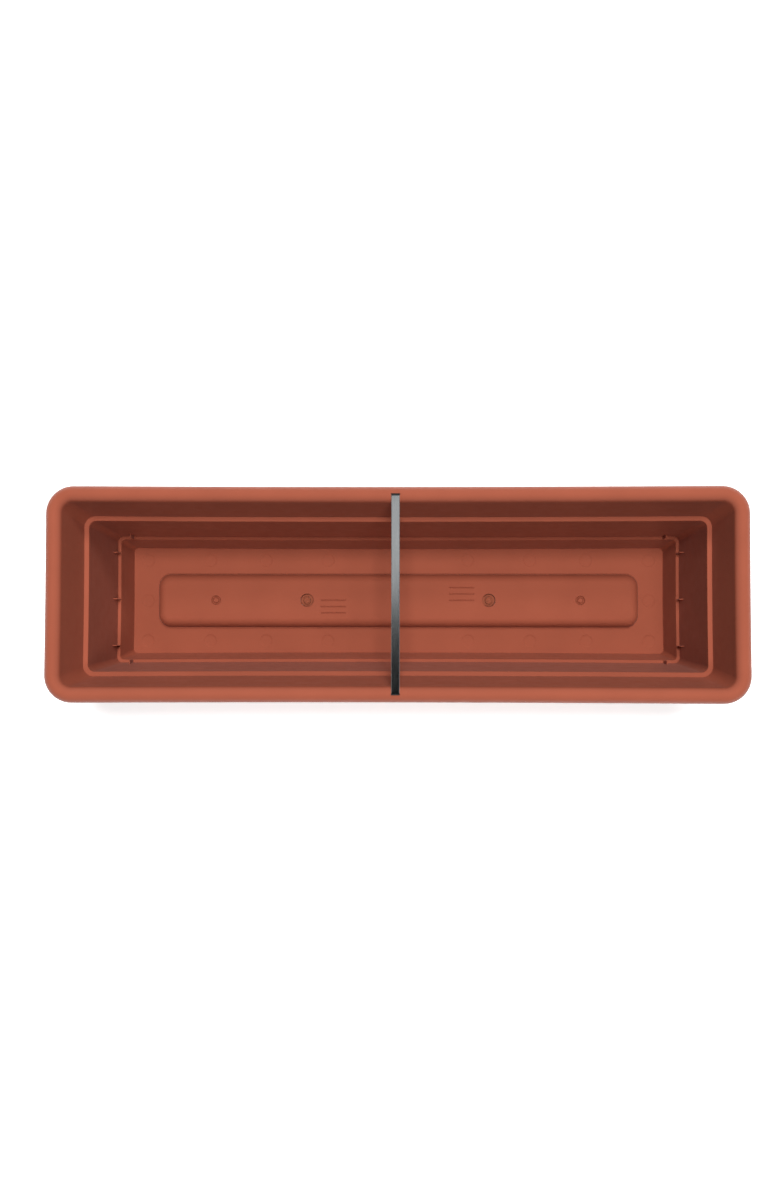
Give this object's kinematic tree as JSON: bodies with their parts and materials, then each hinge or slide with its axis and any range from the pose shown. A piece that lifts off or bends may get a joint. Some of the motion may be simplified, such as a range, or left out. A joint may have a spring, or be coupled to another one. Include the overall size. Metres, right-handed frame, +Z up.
{
  "type": "rectangular planting trough",
  "caption": "Long rectangular plastic planting trough with a wide rolled rim, stepped walls, a raised floor with plugged drains, and a metal tie bar across the rim.",
  "frame": {"origin": "on the ground under the centre of the trough, at the underside of its feet", "axes": "+X along the trough's length, +Y across it, +Z up"},
  "size_m": [1, 0.309, 0.284],
  "materials": {
    "trough_plastic": "satin moulded polypropylene, terracotta",
    "bar_metal": "rolled strip, brushed lengthwise",
    "plug_plastic": "satin moulded polyethylene, terracotta"
  },
  "bodies": {
    "body": {"trough": "trough_plastic"},
    "bar": {"tie_bar": "bar_metal"},
    "plug_left": {"drain_plug_left": "plug_plastic"},
    "plug_right": {"drain_plug_right": "plug_plastic"}
  },
  "joints": [
    {"name": "tie_bar_lift", "type": "slide", "parent": "body", "child": "bar", "axis": [0, 0, 1], "range_m": [0, 0.06]},
    {"name": "drain_plug_left_pull", "type": "slide", "parent": "body", "child": "plug_left", "axis": [0, 0, 1], "range_m": [0, 0.04]},
    {"name": "drain_plug_right_pull", "type": "slide", "parent": "body", "child": "plug_right", "axis": [0, 0, 1], "range_m": [0, 0.04]}
  ]
}
